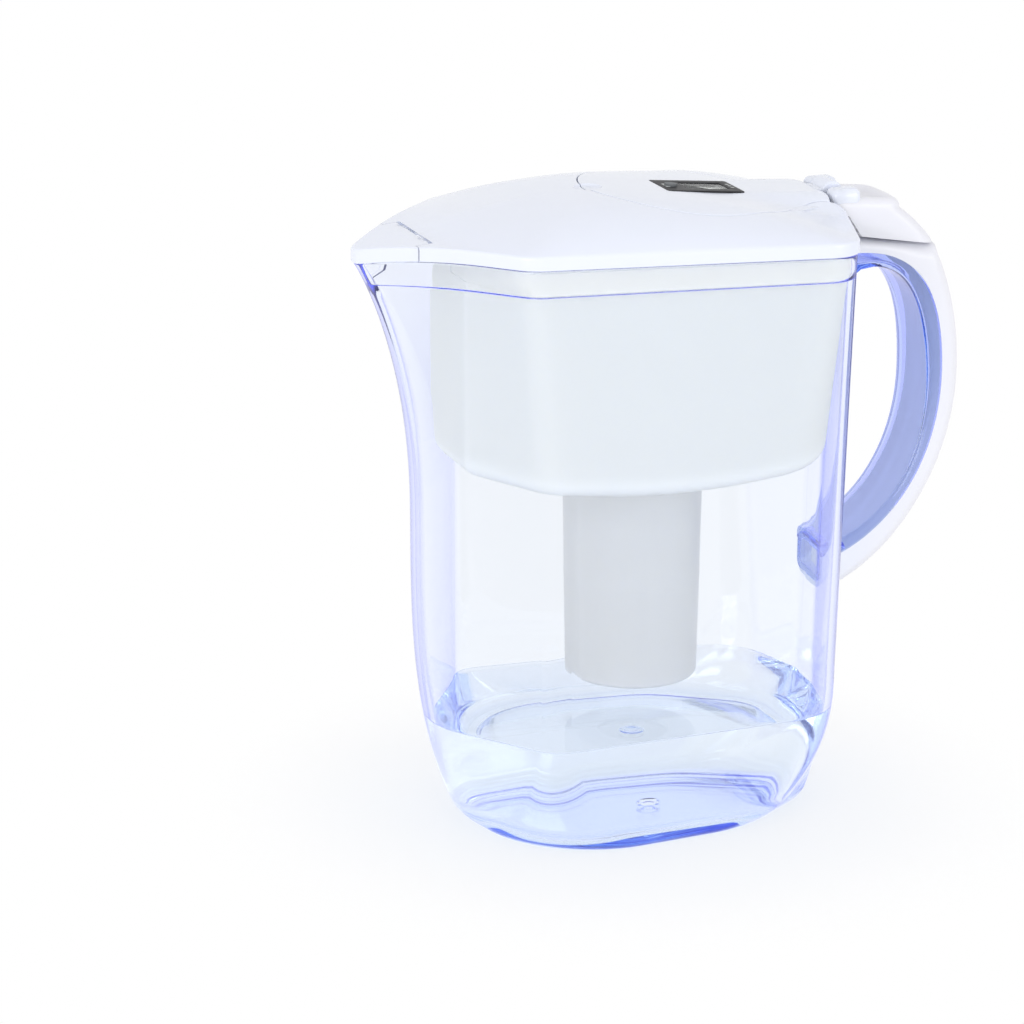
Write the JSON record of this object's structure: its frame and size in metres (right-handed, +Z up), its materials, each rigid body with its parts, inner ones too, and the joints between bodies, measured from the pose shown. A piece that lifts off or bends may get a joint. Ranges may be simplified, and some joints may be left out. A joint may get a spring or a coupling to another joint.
{
  "type": "water filter pitcher",
  "caption": "Clear jug with a loop handle, a spout, a hanging hopper with a filter cartridge, and a white lid with a flip-up filling door, a filter indicator and a spout flap.",
  "frame": {"origin": "on the flat underside of the jug, below the axis of the filter cartridge", "axes": "+Z up, -X towards the spout, +X towards the handle"},
  "size_m": [0.2612, 0.138, 0.2633],
  "materials": {
    "clear_jug": "clear, faint blue-violet tint",
    "white_cover": "gloss white",
    "frosted_hopper": "translucent white",
    "soft_seal": "matt",
    "cartridge_white": "satin",
    "filter_bed": "granular",
    "felt": "matt",
    "white_lid": "gloss white with a faint lavender cast",
    "steel": "brushed",
    "black_plastic": "gloss black",
    "clear_window": "clear",
    "lcd": "grey-green display",
    "board": "green board"
  },
  "bodies": {
    "jug": {"jug_body": "clear_jug", "handle_cover": "white_cover"},
    "hopper": {"hopper": "frosted_hopper", "sleeve_gasket": "soft_seal"},
    "cartridge": {"cartridge_shell": "cartridge_white", "cartridge_cap": "cartridge_white", "cartridge_media": "filter_bed", "media_top_screen": "felt", "media_bottom_screen": "felt", "vent_screen": "felt"},
    "lid": {"lid_shell": "white_lid", "door_seat": "white_lid", "door_hinge_pin": "steel", "flap_hinge_pin": "steel"},
    "door": {"fill_door": "white_lid", "indicator_tray": "white_lid", "tray_gasket": "soft_seal", "tray_screws": "steel", "display_bezel": "black_plastic", "display_window": "clear_window", "lcd_panel": "lcd", "lcd_connector": "soft_seal", "circuit_board": "board", "battery_clip": "steel", "coin_cell": "steel", "button_membrane": "soft_seal"},
    "flap": {"spout_flap": "white_lid"},
    "button": {"reset_button": "black_plastic"}
  },
  "joints": [
    {"name": "hopper_lift", "type": "slide", "parent": "jug", "child": "hopper", "axis": [0, 0, 1], "range_m": [0, 0.2]},
    {"name": "lid_lift", "type": "slide", "parent": "hopper", "child": "lid", "axis": [0, 0, 1], "range_m": [0, 0.06]},
    {"name": "cartridge_lift", "type": "slide", "parent": "hopper", "child": "cartridge", "axis": [0, 0, 1], "range_m": [0, 0.045]},
    {"name": "door_hinge", "type": "hinge", "parent": "lid", "child": "door", "pos_m": [0.0845, 0, 0.254], "axis": [0, 1, 0], "range_deg": [0, 100]},
    {"name": "flap_hinge", "type": "hinge", "parent": "lid", "child": "flap", "pos_m": [-0.095, 0, 0.24879], "axis": [0, 1, 0], "range_deg": [0, 65]},
    {"name": "button_press", "type": "slide", "parent": "door", "child": "button", "axis": [-0.0909, 0, -0.9959], "range_m": [0, 0.0006], "stiffness_N_per_m": 300}
  ]
}
